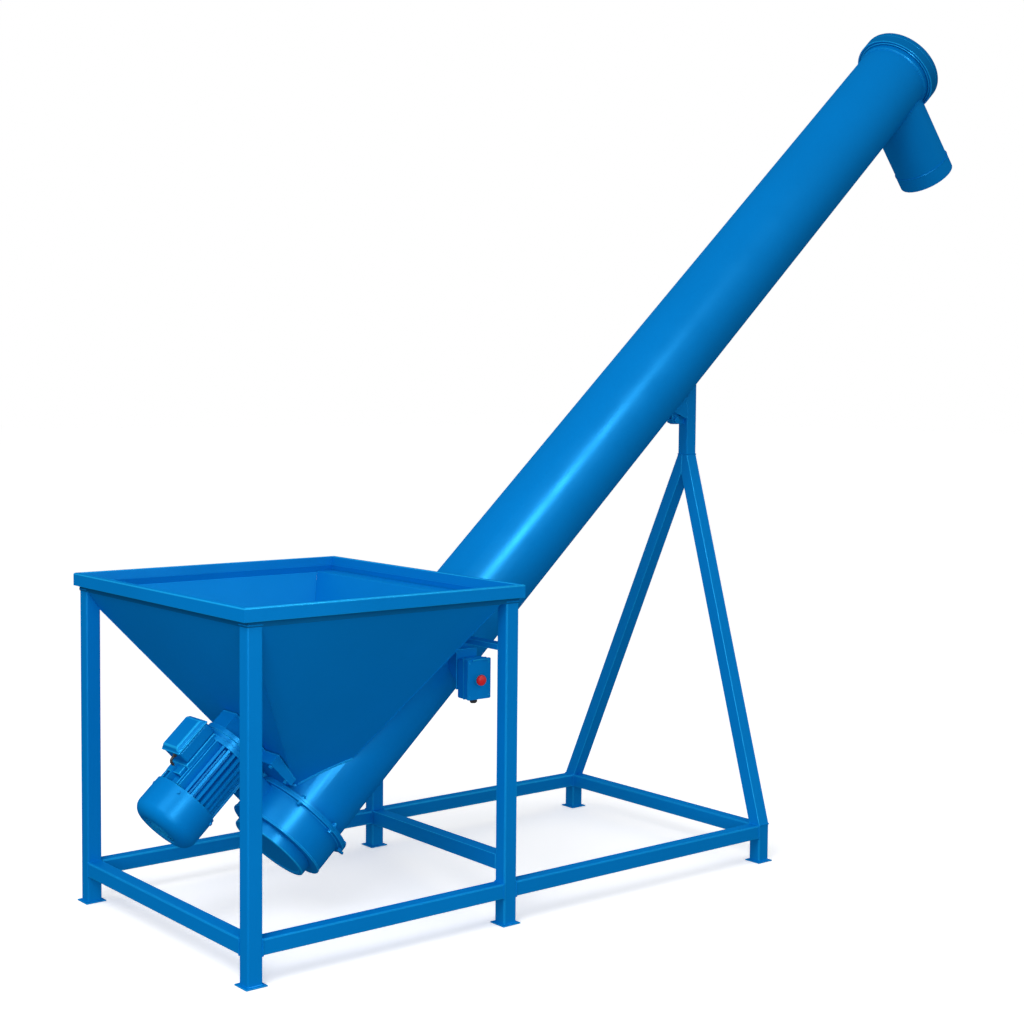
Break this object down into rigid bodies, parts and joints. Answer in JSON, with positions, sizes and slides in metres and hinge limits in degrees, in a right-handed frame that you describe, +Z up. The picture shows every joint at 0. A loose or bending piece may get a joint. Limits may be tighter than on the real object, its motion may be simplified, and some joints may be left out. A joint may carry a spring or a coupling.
{
  "type": "grain auger",
  "caption": "Inclined tube auger on a box-section stand: square pyramid hopper, geared motor at the low end, screw in a round tube and a slanted discharge spout at the top.",
  "frame": {"origin": "centre of the bounding box in plan, at floor level under the six foot plates", "axes": "+X along the machine from the hopper end towards the discharge spout, +Y across the stand, +Z up"},
  "size_m": [2.7322, 0.801, 2.3146],
  "materials": {
    "blue_paint": "satin sky blue enamel over welded sheet and square tube",
    "blue_cast_paint": "satin sky blue enamel over cast motor housing",
    "steel": "zinc plated bearing housings and bolt",
    "machined_steel": "machined and oiled steel",
    "bronze": "machined bronze gear",
    "black_plastic": "black moulded plastic",
    "red_plastic": "red glossy push button"
  },
  "bodies": {
    "frame": {"near_low_post": "blue_paint", "far_low_post": "blue_paint", "near_middle_post": "blue_paint", "far_middle_post": "blue_paint", "near_end_foot": "blue_paint", "far_end_foot": "blue_paint", "foot_plate_near_low": "blue_paint", "foot_plate_far_low": "blue_paint", "foot_plate_near_middle": "blue_paint", "foot_plate_far_middle": "blue_paint", "foot_plate_near_end": "blue_paint", "foot_plate_far_end": "blue_paint", "low_end_rail": "blue_paint", "near_front_rail": "blue_paint", "near_rear_rail": "blue_paint", "far_front_rail": "blue_paint", "far_rear_rail": "blue_paint", "tail_end_rail": "blue_paint", "cross_rail": "blue_paint", "rim_outrigger": "blue_paint", "a_frame_leg_near": "blue_paint", "a_frame_leg_far": "blue_paint", "a_frame_post": "blue_paint", "tube_cradle": "blue_paint", "tube_brace": "blue_paint", "hopper_rim": "blue_paint", "hopper_wall_near": "blue_paint", "hopper_wall_far": "blue_paint", "hopper_wall_low": "blue_paint", "hopper_wall_high": "blue_paint", "auger_tube": "blue_paint", "gear_drum": "blue_paint", "drum_end_cap": "blue_paint", "top_flange": "blue_paint", "top_cover": "blue_paint", "discharge_spout": "blue_paint", "drive_casing": "blue_paint", "casing_cover": "blue_paint", "terminal_box": "blue_paint", "terminal_lid": "blue_paint", "control_box": "blue_paint", "control_lid": "blue_paint", "control_bracket": "blue_paint", "pivot_bolt": "steel", "lower_bearing": "steel", "upper_bearing": "steel", "motor_flange": "blue_cast_paint", "motor_stator": "blue_cast_paint", "motor_cowl": "blue_cast_paint", "terminal_gland": "black_plastic", "control_gland": "black_plastic"},
    "screw": {"auger_screw": "machined_steel", "output_wheel": "machined_steel"},
    "lay": {"lay_shaft": "machined_steel", "lay_gear": "machined_steel"},
    "idler": {"idler_gear": "bronze"},
    "rotor": {"motor_shaft": "machined_steel", "motor_fan": "black_plastic", "motor_pinion": "machined_steel"},
    "stop_button": {"stop_button": "red_plastic"}
  },
  "joints": [
    {"name": "screw_spin", "type": "hinge", "parent": "frame", "child": "screw", "pos_m": [-0.12287, 0, 1.023], "axis": [0.7314, 0, 0.682], "continuous": true},
    {"name": "lay_spin", "type": "hinge", "parent": "frame", "child": "lay", "pos_m": [-1.09461, 0, 0.30553], "axis": [0.7314, 0, 0.682], "continuous": true},
    {"name": "idler_spin", "type": "hinge", "parent": "frame", "child": "idler", "pos_m": [-1.09203, 0, 0.3845], "axis": [0.7314, 0, 0.682], "continuous": true},
    {"name": "rotor_spin", "type": "hinge", "parent": "frame", "child": "rotor", "pos_m": [-1.20756, 0, 0.35334], "axis": [0.7314, 0, 0.682], "continuous": true},
    {"name": "stop_button_push", "type": "slide", "parent": "frame", "child": "stop_button", "axis": [0, 1, 0], "range_m": [0, 0.004], "stiffness_N_per_m": 400}
  ],
  "couplings": [
    {"joint": "lay_spin", "follows": "screw_spin", "ratio": -4.75},
    {"joint": "idler_spin", "follows": "screw_spin", "ratio": 2.85},
    {"joint": "rotor_spin", "follows": "screw_spin", "ratio": -4.75}
  ]
}
